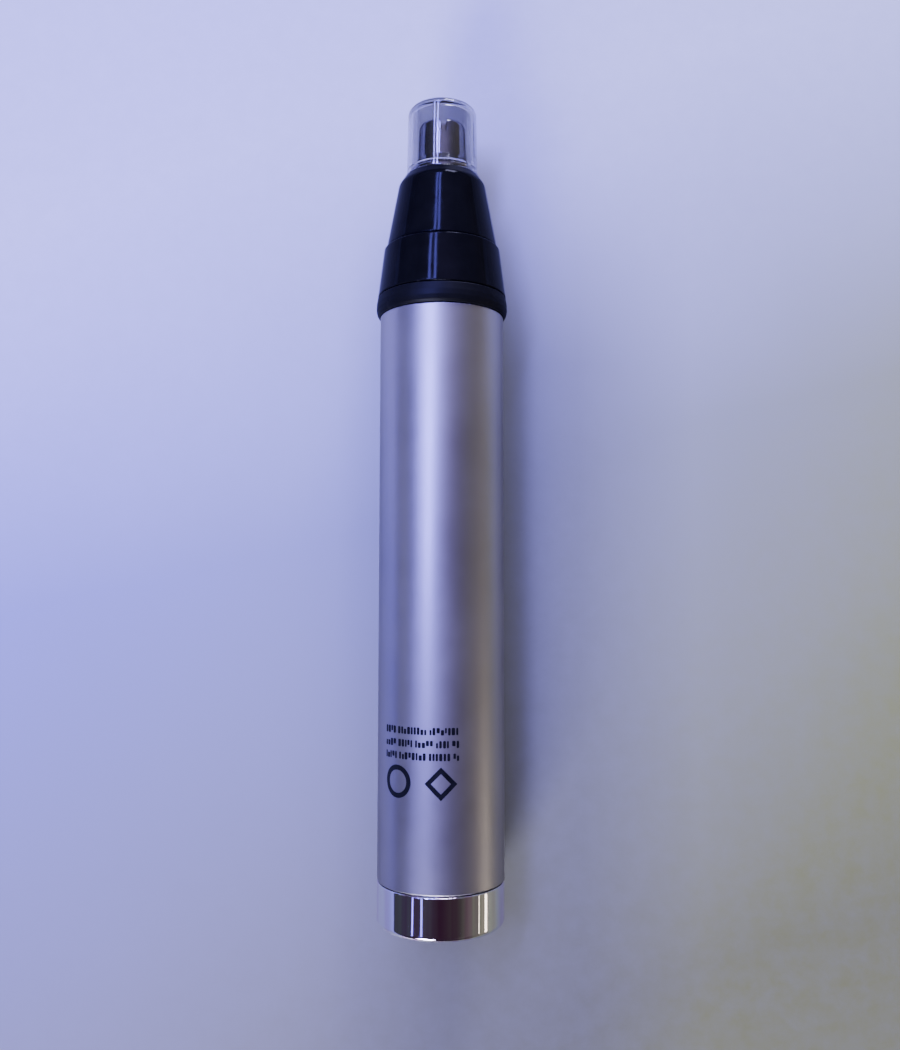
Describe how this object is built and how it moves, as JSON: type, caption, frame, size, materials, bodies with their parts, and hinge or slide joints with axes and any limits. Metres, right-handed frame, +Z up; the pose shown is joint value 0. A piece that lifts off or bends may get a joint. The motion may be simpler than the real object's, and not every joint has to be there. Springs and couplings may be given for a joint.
{
  "type": "nose hair trimmer",
  "caption": "Slim cordless nose hair trimmer with a satin tube, plated base, gloss black head, slotted round cutter and clear dust cap.",
  "frame": {"origin": "on the surface the trimmer lies on, under the middle of its length and its axis", "axes": "+Z up off the surface, +Y along the trimmer from the base end to the cutter, +X to the right with the cutter pointing away"},
  "size_m": [0.0234, 0.144, 0.0234],
  "materials": {
    "chrome_plating": "mirror plated",
    "black_moulding": "fine matte",
    "gold_contact": "gold flash",
    "capacitor_case": "epoxy dipped",
    "red_lead": "insulation",
    "anodised_tube": "satin anodised",
    "natural_nylon": "fine matte",
    "chassis_plastic": "moulded",
    "screw_steel": "zinc plated",
    "cell_wrap": "shrink sleeve",
    "nickel_strip": "nickel strip",
    "board_laminate": "phenolic laminate",
    "diode_epoxy": "epoxy",
    "resistor_paint": "lacquer",
    "motor_steel": "plated steel",
    "bronze": "sintered",
    "ferrite": "sintered ferrite",
    "copper": "enamelled copper",
    "lamination": "stamped stack",
    "spring_steel": "spring wire",
    "shaft_steel": "ground",
    "seal_rubber": "moulded",
    "gloss_black": "high gloss",
    "collar_black": "satin matte",
    "cutter_steel": "polished stainless",
    "blade_steel": "ground stainless",
    "clear_plastic": "clear polystyrene"
  },
  "bodies": {
    "body": {"base_cap": "chrome_plating", "base_insert": "black_moulding", "charge_contacts": "gold_contact", "dropper_capacitor": "capacitor_case", "charge_leads": "red_lead", "body_tube": "anodised_tube", "slide_switch_body": "screw_steel", "chassis_front": "chassis_plastic", "chassis_back": "chassis_plastic", "chassis_screws": "screw_steel", "battery_cell": "cell_wrap", "battery_tab_positive": "nickel_strip", "battery_tab_negative": "nickel_strip", "circuit_board": "board_laminate", "rectifier_diodes": "diode_epoxy", "limiting_resistor": "resistor_paint", "motor_can": "motor_steel", "motor_end_bell": "natural_nylon", "motor_front_bush": "bronze", "motor_rear_bush": "bronze", "motor_magnets": "ferrite", "motor_terminals": "nickel_strip", "motor_brushes": "copper", "motor_leads": "red_lead", "collar_ring": "collar_black", "neck_seal": "seal_rubber"},
    "switch": {"switch_knob": "black_moulding", "switch_slider": "black_moulding", "switch_actuator": "natural_nylon"},
    "rotor": {"motor_shaft": "shaft_steel", "armature_core": "lamination", "armature_windings": "copper", "commutator": "copper", "drive_coupling": "natural_nylon", "blade_spindle": "shaft_steel", "blade_spring": "spring_steel", "blade_holder": "natural_nylon", "inner_blade": "blade_steel"},
    "head": {"head_housing": "gloss_black", "spindle_guide": "natural_nylon"},
    "cutter_cap": {"head_cone": "gloss_black", "cutter_tube": "cutter_steel", "cutter_retainer": "natural_nylon"},
    "clear_cap": {"clear_cap": "clear_plastic"}
  },
  "joints": [
    {"name": "switch_slide", "type": "slide", "parent": "body", "child": "switch", "axis": [0, 1, 0], "range_m": [0, 0.004]},
    {"name": "rotor_spin", "type": "hinge", "parent": "body", "child": "rotor", "pos_m": [0, 0, 0.0117], "axis": [0, 1, 0], "continuous": true},
    {"name": "head_twist", "type": "hinge", "parent": "body", "child": "head", "pos_m": [0, 0, 0.0117], "axis": [0, 1, 0], "range_deg": [0, 30]},
    {"name": "cutter_cap_pull", "type": "slide", "parent": "head", "child": "cutter_cap", "axis": [0, 1, 0], "range_m": [0, 0.026]},
    {"name": "clear_cap_pull", "type": "slide", "parent": "cutter_cap", "child": "clear_cap", "axis": [0, 1, 0], "range_m": [0, 0.02]}
  ]
}
